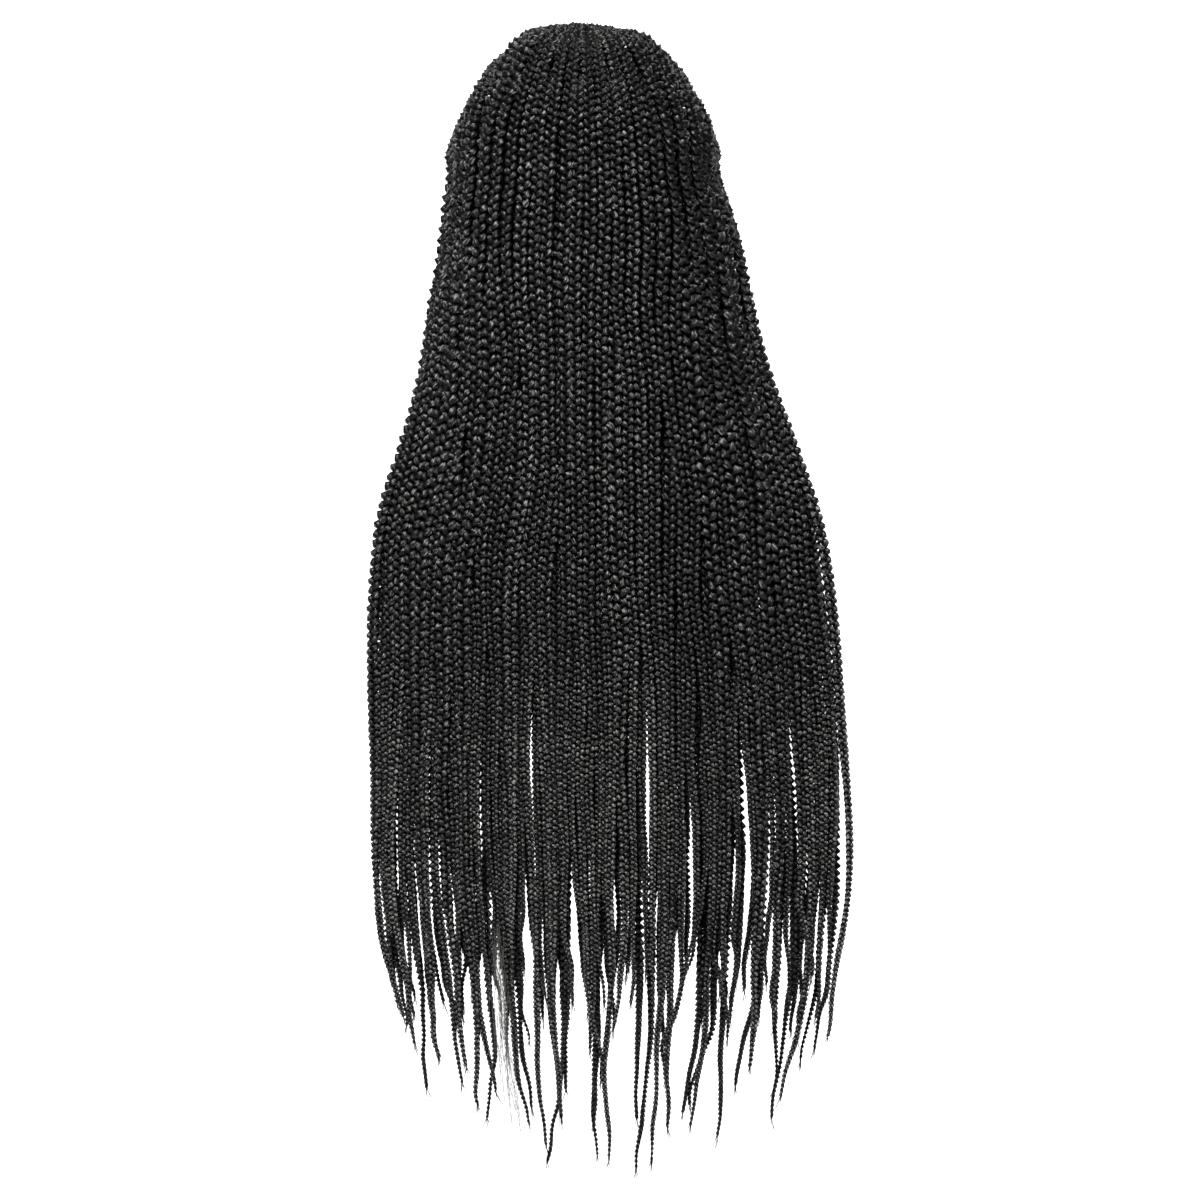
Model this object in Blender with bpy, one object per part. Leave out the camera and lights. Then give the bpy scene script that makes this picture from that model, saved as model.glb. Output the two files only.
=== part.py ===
"""Braid wig: a head-shaped cap and the locks of braids that leave it, in metres.

The frame: X to the side, Y from the face side to the back, Z up. The origin is where the crown of the
head bears on the inside of the cap. Every lock follows one flow: it starts on the cap, fans out from
the crown and from the parting in front of it, leaves the head at the level of the ears and hangs to
its tip.
"""
import bisect
import math

import bmesh
import bpy
import numpy as np
from mathutils import Vector

# Cap
CAP_HALF_WIDTH = 0.0770
CAP_HALF_DEPTH = 0.0960
CAP_HEIGHT = 0.1040
CAP_WALL = 0.0015
CAP_AROUND = 40
CAP_RINGS = 14
NAPE_NARROWING = 0.22
NAPE_REACH = 0.0800
# Height of the cap's edge, by the angle from the face round to the nape
RIM_ANGLES = (0, 35, 62, 82, 98, 116, 132, 150, 180)
RIM_HEIGHTS = (-0.069, -0.074, -0.087, -0.099, -0.107, -0.145, -0.159, -0.167, -0.170)

# Flow over the head, by the share of the way from the parting to where the braids leave the head
SIDE_REACH = 80.0
LAYER = 0.0085
SIDE_FULLNESS = 0.28
HEAD_CLEARANCE = 0.0005
# Shares over which the next layer lifts those above it
SECOND_LAYER = (0.16, 0.38)
THIRD_LAYER = (0.56, 0.76)
HEAD_STEPS = (0.05, 0.12, 0.19, 0.26, 0.32, 0.38, 0.44, 0.51, 0.58, 0.65, 0.71, 0.77, 0.84, 0.92, 1.00)
LEAST_STEP = 0.025
CROWN_RING = 5.0
CROWN_FORWARD = 0.16
PARTING = (
    # place across, side, back, up, fall of the turning point in degrees
    (0.50, 0.060, -0.100, 0.990, 50.0),
    (0.60, 0.060, -0.350, 0.935, 56.0),
    (0.70, 0.060, -0.640, 0.765, 64.0),
    (0.80, 0.070, -0.860, 0.500, 72.0),
    (0.90, 0.340, -0.860, 0.380, 79.0),
    (1.00, 0.600, -0.745, 0.290, 84.0),
)
# Toward the face the inner rows start earlier on the way
EARLY = 0.24
EARLY_PLACES = (0.50, 1.00)

# Flow of the hanging curtain, by height
SLOPE_STEP = 0.02
TIP_ROOM = 0.012
FALL_STEPS = (-0.134, -0.169, -0.209, -0.259, -0.314, -0.374, -0.439, -0.509,
              -0.579, -0.649, -0.709, -0.764, -0.809, -0.849, -0.879)
CURTAIN = (
    # height, reach to +X, reach to -X, edge depth, bulge, evenness, layer
    (-0.104, 0.1100, 0.1110, 0.0215, 0.1020, 0.00, 0.0092),
    (-0.134, 0.1130, 0.1190, 0.0240, 0.0990, 0.03, 0.0088),
    (-0.169, 0.1170, 0.1290, 0.0290, 0.0935, 0.10, 0.0085),
    (-0.209, 0.1245, 0.1390, 0.0360, 0.0855, 0.20, 0.0081),
    (-0.259, 0.1330, 0.1510, 0.0450, 0.0755, 0.32, 0.0076),
    (-0.319, 0.1480, 0.1720, 0.0560, 0.0625, 0.46, 0.0069),
    (-0.379, 0.1660, 0.1910, 0.0650, 0.0515, 0.58, 0.0063),
    (-0.439, 0.1715, 0.2010, 0.0700, 0.0445, 0.68, 0.0058),
    (-0.509, 0.1720, 0.2070, 0.0720, 0.0405, 0.75, 0.0053),
    (-0.579, 0.1715, 0.2105, 0.0730, 0.0385, 0.80, 0.0050),
    (-0.649, 0.1710, 0.2105, 0.0730, 0.0370, 0.82, 0.0048),
    (-0.709, 0.1650, 0.2065, 0.0730, 0.0360, 0.84, 0.0046),
    (-0.764, 0.1570, 0.2030, 0.0730, 0.0350, 0.86, 0.0045),
    (-0.809, 0.1480, 0.1950, 0.0730, 0.0350, 0.88, 0.0044),
    (-0.849, 0.1350, 0.1850, 0.0730, 0.0350, 0.88, 0.0044),
    (-0.909, 0.1200, 0.1750, 0.0730, 0.0350, 0.88, 0.0044),
)
REACH_LEFT, REACH_RIGHT, EDGE_DEPTH, BULGE, EVENNESS, LAYER_DEPTH = range(1, 7)

# Rows of braids: name, locks, braids in a lock, side reach of the row, layer, share of the head at the root
ROWS = (
    ("front_braids", 12, 3, 1.00, 0, 0.05),
    ("crown_braids", 8, 3, 0.97, 1, 0.38),
    ("back_braids", 7, 4, 0.94, 2, 0.76),
    ("nape_braids", 9, 3, 0.78, 3, 1.00),
)
# Where the nape row starts, by the place across
NAPE_PLACES = (0.0, 0.40, 0.60, 0.78)
NAPE_HEIGHTS = (-0.154, -0.152, -0.144, -0.137)
LOCK_FILL = 0.95
LOCK_THICKNESS = 0.70
FACE_SHARE = 0.62
ROOT_SCALE = 0.85
LEAST_THICKNESS = 0.25
ROOT_LIFT = 0.0006
LEAST_CLEARANCE = 0.0016
ROOT_GAP = 0.0004
TIP_TAPER = 0.150
TIP_SCALE = 0.22

# Where the ends hang, by the place across the curtain
END_PLACES = (-1.00, -0.80, -0.60, -0.35, 0.00, 0.30, 0.55, 0.80, 1.00)
END_HEIGHTS = (-0.794, -0.854, -0.874, -0.897, -0.904, -0.889, -0.859, -0.824, -0.789)
END_SPREAD = 0.090
SWAY_TOP = -0.429
SWAY_DEPTH = 0.400
SWAY = 0.020
SWAY_WAVES = 5.0
SWAY_TURN = 3.0
SWAY_BY_LAYER = 1.9


def smooth(low, high, value):
    t = min(1.0, max(0.0, (value - low) / (high - low)))
    return t * t * (3.0 - 2.0 * t)


def scatter(index, salt):
    """A repeatable number from 0 to 1 for a lock."""
    return math.modf(abs(math.sin(index * 12.9898 + salt * 78.233)) * 43758.5453)[0]


def table_value(rows, column, height):
    """Smooth reading of a table that is ordered from the top down."""
    heights = [-row[0] for row in rows]
    depth = min(max(-height, heights[0]), heights[-1])
    i = min(max(bisect.bisect_right(heights, depth) - 1, 0), len(rows) - 2)
    t = (depth - heights[i]) / (heights[i + 1] - heights[i])
    before = rows[max(i - 1, 0)][column]
    start = rows[i][column]
    end = rows[i + 1][column]
    after = rows[min(i + 2, len(rows) - 1)][column]
    slope_in = 0.5 * (end - before)
    slope_out = 0.5 * (after - start)
    bend = 2.0 * start - 2.0 * end + slope_in + slope_out
    turn = 3.0 * end - 3.0 * start - 2.0 * slope_in - slope_out
    return ((bend * t + turn) * t + slope_in) * t + start


def early(across):
    """How much sooner the inner rows start at the sides, as a share of the way."""
    return EARLY * smooth(*EARLY_PLACES, abs(across))


def head_layers(share):
    """How many layers of braids lie on the head at this share of the way."""
    return 1.0 + smooth(*SECOND_LAYER, share) + smooth(*THIRD_LAYER, share)


def head_layer_depth(across):
    """The layers are fuller at the sides of the head than along its middle."""
    return LAYER * (1.0 + SIDE_FULLNESS * smooth(0.05, 0.45, abs(across)))


def head_direction(across, share):
    """The direction from the middle of the head: a curve from the parting that ends straight down."""
    side = math.radians(SIDE_REACH * across)
    far = abs(across)
    if far <= PARTING[0][0]:
        ring = math.sin(math.radians(CROWN_RING))
        start = Vector((ring * math.sin(side), ring * math.cos(side) - CROWN_FORWARD, 1.0))
        fall = math.radians(PARTING[0][4])
    else:
        places = [row[0] for row in PARTING]
        parts = [float(np.interp(far, places, [row[k] for row in PARTING])) for k in (1, 2, 3, 4)]
        start = Vector((math.copysign(parts[0], across), parts[1], parts[2]))
        fall = math.radians(parts[3])
    start.normalize()
    turning = Vector((math.sin(fall) * math.sin(side), math.sin(fall) * math.cos(side), math.cos(fall)))
    end = Vector((math.sin(side), math.cos(side), 0.0))
    rest = 1.0 - share
    return (start * rest ** 2 + turning * (2.0 * rest * share) + end * share ** 2).normalized()


def head_point(across, share, lift):
    """A point above the cap: across from -1 to 1, share of the way, lift above its outer face."""
    toward = head_direction(across, share)
    return Vector(((CAP_HALF_WIDTH + CAP_WALL + lift) * toward.x,
                   (CAP_HALF_DEPTH + CAP_WALL + lift) * toward.y,
                   (CAP_HEIGHT + CAP_WALL + lift) * toward.z - CAP_HEIGHT))


def curtain_outer(across, height):
    """A point on the outermost face of the hanging curtain."""
    full = math.radians(SIDE_REACH)
    side = full * across
    evenness = table_value(CURTAIN, EVENNESS, height)
    share = (1.0 - evenness) * math.sin(side) / math.sin(full) + evenness * across
    column = REACH_LEFT if across > 0 else REACH_RIGHT
    bulge = (math.cos(side) - math.cos(full)) / (1.0 - math.cos(full))
    depth = table_value(CURTAIN, EDGE_DEPTH, height) + table_value(CURTAIN, BULGE, height) * bulge
    return Vector((share * table_value(CURTAIN, column, height), depth, height))


def curtain_point(across, height, inward):
    """A point this far inward of the curtain's outermost face."""
    along = curtain_outer(across + SLOPE_STEP, height) - curtain_outer(across - SLOPE_STEP, height)
    along.z = 0.0
    along.normalize()
    face = Vector((-along.y, along.x, 0.0))
    if face.y < 0.0:
        face.negate()
    return curtain_outer(across, height) - face * inward


def sway(across, height, layer):
    """The sideways drift that opens gaps between the lower locks."""
    amount = SWAY * smooth(0.0, SWAY_DEPTH, SWAY_TOP - height)
    phase = 2.0 * math.pi * SWAY_WAVES * across + SWAY_BY_LAYER * layer + SWAY_TURN * height
    return amount * math.sin(phase)


def flow_point(across, place, layer, rise):
    """A point of a layer. A place over zero is a share of the way on the head, one under it a height."""
    if place > 0.0:
        layers = head_layers(place + early(across)) - layer
        lift = HEAD_CLEARANCE + max(0.5, layers - 0.5) * head_layer_depth(across)
        return head_point(across, place, lift + rise)
    layer_depth = table_value(CURTAIN, LAYER_DEPTH, place)
    inward = (layer + 0.5) * layer_depth - rise
    return curtain_point(across + sway(across, place, layer), place, inward)


def end_height(across, index, layer):
    lowest = np.interp(across, END_PLACES, END_HEIGHTS)
    return float(lowest) + END_SPREAD * scatter(index, layer + 1)


def add_object(name, bm, colour, roughness):
    bmesh.ops.recalc_face_normals(bm, faces=bm.faces[:])
    mesh = bpy.data.meshes.new(name)
    bm.to_mesh(mesh)
    bm.free()
    obj = bpy.data.objects.new(name, mesh)
    bpy.context.scene.collection.objects.link(obj)
    material = bpy.data.materials.new(name + "_material")
    material.use_nodes = True
    shader = material.node_tree.nodes["Principled BSDF"]
    shader.inputs["Base Color"].default_value = (*colour, 1.0)
    shader.inputs["Roughness"].default_value = roughness
    mesh.materials.append(material)
    return obj


def cap_point(around, fall, lift):
    """A point of the cap: around from the face, fall in degrees from the crown."""
    turn = math.radians(around)
    if fall <= 90.0:
        size = math.sin(math.radians(fall))
        height = (CAP_HEIGHT + lift) * math.cos(math.radians(fall)) - CAP_HEIGHT
    else:
        below = CAP_HEIGHT * math.radians(fall - 90.0)
        size = 1.0 - NAPE_NARROWING * (below / NAPE_REACH) ** 2
        height = -CAP_HEIGHT - below
    return Vector(((CAP_HALF_WIDTH + lift) * size * math.sin(turn),
                   -(CAP_HALF_DEPTH + lift) * size * math.cos(turn), height))


def rim_fall(around):
    """The angle down from the crown at which the cap ends."""
    height = float(np.interp(min(around, 360.0 - around), RIM_ANGLES, RIM_HEIGHTS)) + CAP_HEIGHT
    if height >= 0.0:
        return math.degrees(math.acos(height / CAP_HEIGHT))
    return 90.0 + math.degrees(-height / CAP_HEIGHT)


def build_cap():
    """The head-shaped shell, open at the face, the ears and the neck."""
    bm = bmesh.new()
    faces = []
    for lift in (CAP_WALL, 0.0):
        crown = bm.verts.new(cap_point(0.0, 0.0, lift))
        rings = []
        for ring in range(1, CAP_RINGS + 1):
            verts = []
            for i in range(CAP_AROUND):
                around = 360.0 * i / CAP_AROUND
                verts.append(bm.verts.new(cap_point(around, rim_fall(around) * ring / CAP_RINGS, lift)))
            rings.append(verts)
        faces.append((crown, rings))
    for crown, rings in faces:
        for i in range(CAP_AROUND):
            j = (i + 1) % CAP_AROUND
            bm.faces.new((crown, rings[0][i], rings[0][j]))
            for upper, lower in zip(rings, rings[1:]):
                bm.faces.new((upper[i], lower[i], lower[j], upper[j]))
    outer_rim = faces[0][1][-1]
    inner_rim = faces[1][1][-1]
    for i in range(CAP_AROUND):
        j = (i + 1) % CAP_AROUND
        bm.faces.new((outer_rim[i], inner_rim[i], inner_rim[j], outer_rim[j]))
    add_object("cap", bm, (0.020, 0.020, 0.020), 0.8)


def lock_section(across, half_width, place, layer, scale, seated):
    """The six corners of a lock at one place: two edges, two on its outer and two on its inner face."""
    thickness = head_layer_depth(across)
    if place < 0.0:
        thickness = table_value(CURTAIN, LAYER_DEPTH, place)
    rise = 0.5 * thickness * LOCK_THICKNESS * min(1.0, scale + LEAST_THICKNESS)
    wide = half_width * scale
    narrow = FACE_SHARE * wide
    outer = ((-wide, 0.0), (-narrow, rise), (narrow, rise))
    corners = outer + ((wide, 0.0), (narrow, -rise), (-narrow, -rise))
    points = [flow_point(across + shift, place, layer, height) for shift, height in corners]
    if place > 0.0:
        return clear_of_cap(points, seated)
    return points


def clear_of_cap(points, seated):
    """Seats a root on the round cap, and lifts any other wide section clear of it."""
    centre = Vector((0.0, 0.0, -CAP_HEIGHT))
    toward = 0.5 * (points[4] + points[5]) - centre
    size = math.hypot(toward.x / (CAP_HALF_WIDTH + CAP_WALL), toward.y / (CAP_HALF_DEPTH + CAP_WALL),
                      toward.z / (CAP_HEIGHT + CAP_WALL))
    depth = toward.length * (1.0 / size - 1.0)
    lift = depth + ROOT_LIFT if seated else max(0.0, depth + LEAST_CLEARANCE)
    return [p + toward.normalized() * lift for p in points]


def seat_on_cap(points, place):
    """Shifts a nape lock's first section onto the cap, which curves in below the ears."""
    below = -CAP_HEIGHT - place
    size = 1.0 - NAPE_NARROWING * (below / NAPE_REACH) ** 2
    width = (CAP_HALF_WIDTH + CAP_WALL) * size
    depth = (CAP_HALF_DEPTH + CAP_WALL) * size
    least, nearest = min((math.hypot(p.x / width, p.y / depth), math.hypot(p.x, p.y)) for p in points)
    inward = nearest * (1.0 - 1.0 / least) - ROOT_GAP
    middle = sum(points, Vector((0.0, 0.0, 0.0))) / len(points)
    toward = Vector((middle.x / width ** 2, middle.y / depth ** 2, 0.0)).normalized()
    return [p - toward * inward for p in points]


def build_lock(name, index, across, half_width, layer, start):
    """One tapering lock from its root on the cap to its tip."""
    end = end_height(across, index, layer)
    if layer == 3:
        places = [float(np.interp(abs(across), NAPE_PLACES, NAPE_HEIGHTS))]
    else:
        places = [start - early(across) if layer else start]
        places += [step for step in HEAD_STEPS if step > places[0] + LEAST_STEP]
    places += [step for step in FALL_STEPS if end + TIP_ROOM < step < min(places[-1], 0.0) - TIP_ROOM]
    places.append(end)
    bm = bmesh.new()
    rings = []
    for place in places:
        scale = 1.0
        if place < 0.0:
            scale = TIP_SCALE + (1.0 - TIP_SCALE) * smooth(0.0, TIP_TAPER, place - end)
        if place == places[0]:
            scale = ROOT_SCALE
        points = lock_section(across, half_width, place, layer, scale, place == places[0] and layer < 3)
        if layer == 3 and place == places[0]:
            points = seat_on_cap(points, place)
        rings.append([bm.verts.new(p) for p in points])
    for upper, lower in zip(rings, rings[1:]):
        for i in range(6):
            j = (i + 1) % 6
            bm.faces.new((upper[i], lower[i], lower[j], upper[j]))
    bm.faces.new(rings[0])
    bm.faces.new(rings[-1])
    shade = 0.014 + 0.006 * scatter(index, 7)
    add_object(name, bm, (shade, shade, shade), 0.5)


for old in list(bpy.data.objects):
    bpy.data.objects.remove(old, do_unlink=True)

build_cap()
for row_name, locks, braids, reach, row_layer, row_start in ROWS:
    spacing = 2.0 * reach / locks
    for number in range(locks):
        place_across = -reach + spacing * (number + 0.5)
        build_lock(f"{row_name}_{number + 1:02d}", number, place_across, 0.5 * spacing * LOCK_FILL,
                   row_layer, row_start)
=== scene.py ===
"""Braid wig: the plaited braids and the cap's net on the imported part, with a plain studio, in metres.

Every lock of the part becomes its three or four braids, and every braid three strands. They follow the
flow that the locks follow: across the hair from -1 to 1, along it from the parting to the tip, and in
layers that start at its outer face.
"""
import math

import bmesh
import bpy
import numpy as np
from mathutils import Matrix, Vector


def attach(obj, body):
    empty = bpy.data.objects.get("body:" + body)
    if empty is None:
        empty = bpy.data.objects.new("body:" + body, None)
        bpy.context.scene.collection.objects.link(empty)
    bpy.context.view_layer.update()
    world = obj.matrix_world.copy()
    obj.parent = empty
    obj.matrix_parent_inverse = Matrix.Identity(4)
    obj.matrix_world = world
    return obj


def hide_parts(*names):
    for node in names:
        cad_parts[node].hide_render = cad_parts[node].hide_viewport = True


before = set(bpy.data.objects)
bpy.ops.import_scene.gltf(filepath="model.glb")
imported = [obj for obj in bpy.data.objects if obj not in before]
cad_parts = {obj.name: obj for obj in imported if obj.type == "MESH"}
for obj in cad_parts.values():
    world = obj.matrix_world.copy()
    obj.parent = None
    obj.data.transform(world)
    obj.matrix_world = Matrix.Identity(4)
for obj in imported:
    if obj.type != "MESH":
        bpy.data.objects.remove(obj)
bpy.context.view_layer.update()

# Cap and head
CAP_HALF_WIDTH = 0.0770
CAP_HALF_DEPTH = 0.0960
CAP_HEIGHT = 0.1040
CAP_WALL = 0.0015
NAPE_NARROWING = 0.22
NAPE_REACH = 0.0800
# How far round the head the hair reaches at each side, in degrees from straight back
SIDE_REACH = 80.0
LAYER = 0.0085
# The layers get thicker between these places across, towards the sides
SIDE_FULLNESS = 0.28
SIDE_PLACES = (0.05, 0.45)
HEAD_CLEARANCE = 0.0005
# Shares of the way over the head in which the next layer lifts those above it
SECOND_LAYER = (0.10, 0.42)
THIRD_LAYER = (0.46, 0.92)
# How much sooner the inner rows start at the sides
EARLY = 0.24
EARLY_PLACES = (0.50, 1.00)
# Length of the way over the head, and where the layers settle after it
HEAD_WAY = 0.165
LAYER_EASING = 0.05
STEP_EASING = 0.09
# The ring round the crown where the braids start, in degrees, and how far ahead of the middle it is
CROWN_RING = 5.0
CROWN_FORWARD = 0.16
# The swelling at the crown where the braids meet
SWELLING = 0.0045
SWELLING_PLACE = (0.006, -0.010)
SWELLING_REACH = 0.030
PARTING = np.array((
    # place across, side, back, up, fall of the turning point in degrees
    (0.50, 0.060, -0.100, 0.990, 50.0),
    (0.60, 0.060, -0.350, 0.935, 56.0),
    (0.70, 0.060, -0.640, 0.765, 64.0),
    (0.80, 0.070, -0.860, 0.500, 72.0),
    (0.90, 0.340, -0.860, 0.380, 79.0),
    (1.00, 0.600, -0.745, 0.290, 84.0),
))

# Hanging curtain, from the top down
CURTAIN = np.array((
    # depth under the origin, reach to +X, reach to -X, edge depth, bulge, evenness, layer
    (0.104, 0.1100, 0.1110, 0.0215, 0.1020, 0.00, 0.0092),
    (0.134, 0.1130, 0.1190, 0.0240, 0.0990, 0.03, 0.0088),
    (0.169, 0.1170, 0.1290, 0.0290, 0.0935, 0.10, 0.0085),
    (0.209, 0.1245, 0.1390, 0.0360, 0.0855, 0.20, 0.0081),
    (0.259, 0.1330, 0.1510, 0.0450, 0.0755, 0.32, 0.0076),
    (0.319, 0.1480, 0.1720, 0.0560, 0.0625, 0.46, 0.0069),
    (0.379, 0.1660, 0.1910, 0.0650, 0.0515, 0.58, 0.0063),
    (0.439, 0.1715, 0.2010, 0.0700, 0.0445, 0.68, 0.0058),
    (0.509, 0.1720, 0.2070, 0.0720, 0.0405, 0.75, 0.0053),
    (0.579, 0.1715, 0.2105, 0.0730, 0.0385, 0.80, 0.0050),
    (0.649, 0.1710, 0.2105, 0.0730, 0.0370, 0.82, 0.0048),
    (0.709, 0.1650, 0.2065, 0.0730, 0.0360, 0.84, 0.0046),
    (0.764, 0.1570, 0.2030, 0.0730, 0.0350, 0.86, 0.0045),
    (0.809, 0.1480, 0.1950, 0.0730, 0.0350, 0.88, 0.0044),
    (0.849, 0.1350, 0.1850, 0.0730, 0.0350, 0.88, 0.0044),
    (0.909, 0.1200, 0.1750, 0.0730, 0.0350, 0.88, 0.0044),
))
DEPTH, REACH_LEFT, REACH_RIGHT, EDGE_DEPTH, BULGE, EVENNESS, LAYER_DEPTH = range(7)
# Steps across for the curtain's face and for a braid's side
SLOPE_STEP = 0.02
BESIDE_STEP = 0.01
NEWTON_STEPS = 8
LEAST_SLOPE = 0.2
MOST_ACROSS = 1.04
# Low down the hair sways across in waves that turn with the depth
SWAY_TOP = 0.429
SWAY_DEPTH = 0.400
SWAY = 0.020
SWAY_WAVES = 5.0
SWAY_TURN = 3.0
SWAY_BY_LAYER = 1.9

# Rows: name, locks, braids in a lock, side reach, layer, share of the way at which they start
FRONT, CROWN, BACK, NAPE = range(4)
ROWS = (
    ("front_braids", 12, 3, 1.00, FRONT, 0.05),
    ("crown_braids", 8, 3, 0.97, CROWN, 0.38),
    ("back_braids", 7, 4, 0.94, BACK, 0.76),
    ("nape_braids", 9, 3, 0.78, NAPE, 1.00),
)
# Behind the head the front row shows as even columns. In turn they start at three shares of the way, and
# are shifted across there. The middle one of three starts a layer deeper and comes up soon.
COLUMNS = 20
COLUMN_STARTS = (-0.08, 0.45, 0.08)
COLUMN_SHIFTS = (0.018, 0.0, -0.018)
COLUMN_JOINS = (-0.10, -0.02)
DEEPER = 0.85
DEEPER_LENGTH = 0.035
# The front row's other braids and those of the crown row come up between the columns at these depths
BENEATH_START = 0.62
# Those that start above this place along, in metres, sink in at the next ones, the less the farther out
BENEATH_ABOVE = -0.10
BENEATH_ARRIVES = (-0.09, -0.01)
BENEATH_PLACES = (0.55, 0.80)
FRONT_RISES = (0.160, 0.370)
CROWN_RISES = (0.400, 0.600)
RISING = 0.050
# Under the front row: layer at the root, how far it rises from there, and between which places along
INNER_LEVELS = {
    CROWN: (1.22, 0.22, 0.02, 0.12),
    BACK: (2.2, 0.55, 0.10, 0.40),
    NAPE: (3.1, 0.95, 0.10, 0.42),
}
CROWN_LIFT = 0.70
INNER_JOINS = (0.12, 0.38)
MOST_SHARE = 0.985
SPACING_TURN = 0.618034
SPACING_DEPTHS = np.linspace(CAP_HEIGHT, 0.92, 160)
# Where the nape braids start, by the place across
NAPE_PLACES = (0.0, 0.40, 0.60, 0.78)
NAPE_DEPTHS = (0.154, 0.152, 0.144, 0.137)
NAPE_ROOT_LIFT = 0.0024
# The lowest tips, by the share of the reach
END_PLACES = (-1.00, -0.80, -0.60, -0.35, 0.00, 0.30, 0.55, 0.80, 1.00)
END_DEPTHS = (0.794, 0.860, 0.877, 0.897, 0.904, 0.892, 0.872, 0.842, 0.789)
END_SCATTER = 0.045
FATE_SCATTER = 0.06
# What share of the braids would have ended at each depth
END_SHARES = (0.00, 0.05, 0.20, 0.41, 0.61, 0.71, 0.75, 0.77, 0.84, 0.94, 1.00)
END_STEPS = (0.708, 0.730, 0.747, 0.767, 0.786, 0.806, 0.826, 0.846, 0.868, 0.888, 0.904)

# Braids: widths by depth, and near the tip by the distance from it
WIDTH_DEPTHS = (-0.05, 0.01, 0.10, 0.17, 0.29, 0.37, 0.46, 0.53, 0.60, 0.70, 0.75, 0.79, 0.83, 0.90)
WIDTHS = (0.0088, 0.0105, 0.0110, 0.0113, 0.0108, 0.0105, 0.0095, 0.0080, 0.0070, 0.0067, 0.0064,
          0.0054, 0.0044, 0.0037)
TIP_DISTANCES = (0.00, 0.02, 0.06, 0.12, 0.20, 0.32)
TIP_WIDTHS = (0.0029, 0.0039, 0.0051, 0.0063, 0.0080, 0.0130)
WIDTH_SCATTER = 0.045
ROOT_NARROWING = 0.30
ROOT_LENGTH = 0.020
ROOT_SINKING = 0.0022
ROOT_RISE_LENGTH = 0.016
# The inner rows' braids are wider, to fill the fall: at the top, more low down, less between these depths
INNER_SIZE = 1.22
INNER_SIZE_LOW = 0.03
INNER_SIZE_END = 0.26
INNER_ENDS = (0.70, 0.80)
INNER_PERIOD = 1.15
# Sizes of the front row's braids that are no columns, over the ears up to this place across and elsewhere
OVER_EAR = 0.85
OVER_EAR_SIZE = 1.25
BETWEEN_SIZE = 1.10
# A strand goes from side to side and back over this many widths, and never over less than this length
PERIOD = 1.95
LEAST_PERIOD = 0.0115
# Points of a strand in one period
STEPS_SHOWN = 8
STEPS_HIDDEN = 6
STRAND_SIDES = 4
WISP_SIDES = 3
# A strand's path and radii as shares of the braid's width. The flattening is a share of the period: it
# lays the strands more across where they cross on top.
STRAND_SWINGS = (0.300, 0.255)
STRAND_RISE = 0.19
STRAND_FLATTENING = 0.036
STRAND_SWELL = 0.33
STRAND_WIDES = (0.215, 0.245)
STRAND_DEEP = 0.225
STRAND_UNEVENNESS = 0.07
UNEVEN_TURN = 0.37
UNEVEN_START = 6.0
# Widths between which a braid becomes fine. A fine braid's strands swing less, and their painted highlight
# on top and painted shade in the grooves are darker overall and stronger.
FINE = (0.0095, 0.0068)
FINE_PAINTED_SHADE = 0.05
FINE_PAINTED_CONTRAST = 0.18
LINE_STEP = 0.004
SEED = 20
# How far before its top, as a turn of its path, a strand is thickest and has its painted highlight, on the
# flank that faces the light from above
CREST_LEAD = 0.7
# Painted shade: how much darker the rows are, from the outermost in, as they lie under the outer ones; and
# how unlike braids and strands are in tone
INNER_SHADES = (0.0, 0.3, 1.0, 1.2)
BRAID_TONES = 0.16
STRAND_TONES = 0.10
# One thick braid hangs by itself at this share of the reach
THICK_PLACE = 0.82
THICK = 1.45
# Two columns that stand apart, with a dark gap between, from the first depths to the last
PARTED = {11: -0.0019, 12: 0.0019}
PARTED_FROM = (0.06, 0.11)
PARTED_TO = (0.31, 0.36)
# The braids past this share of the reach stand off the fall, most at this depth
APART_SHARE = -0.97
APART = -0.003
APART_DEPTH = 0.66
APART_REACH = 0.09

# Groups: how many neighbours they draw together, by how many metres, and the depths at which that starts
GROUP_SIZES = (3, 4, 5, 6, 8)
GROUP_PULLS = (0.008, 0.014)
GROUP_DRIFT = 0.003
MOST_DRAW = 0.45
LEAST_GROUP_REACH = 0.02
GROUP_OPENS = (0.54, 0.74)
GROUP_OPENING = 0.12
GROUP_CLOSING = (0.74, 0.84)
DRAW_POWER = 0.6
CLOSING_SHARE = 0.8
# Each group also winds across by this much, once in this length
GROUP_WINDING = 0.006
GROUP_WINDING_LENGTH = 0.22

# Depths between which the braids begin to wander, and between which they do so most
LOW = (0.36, 0.72)
TAIL = (0.60, 0.86)
# Every second braid of a group stands out there
STANDING_OUT = 0.0016
# Every wave has a second one in it, with this share of its length, and these sizes
SECOND_WAVE = 0.43
WAVE_SIZES = (0.72, 0.38)
# Waves of a braid: length and size, both in metres, but the size in radians for the twist
RISE_WAVE = (0.31, 0.0005)
LOW_RISE_WAVE = (0.27, 0.0012)
ASIDE_WAVE = (0.23, 0.0005)
LOW_ASIDE_WAVE = (0.24, 0.0008)
TAIL_WAVE = (0.17, 0.0015)
CURL_WAVE = (0.085, 0.0026)
CURL_OUT_WAVE = (0.11, 0.0035)
TWIST_WAVE = (0.50, 0.30)
LOW_TWIST_WAVE = (0.22, 0.85)

# Tips: from how far up they bend, the share of braids that bend fully, and how much the others do
TIP_BEND = 0.10
BENT_SHARE = 0.25
SLIGHTLY_BENT = 0.35
TIP_ASIDE = 0.012
MOST_ASIDE = 0.016

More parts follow.
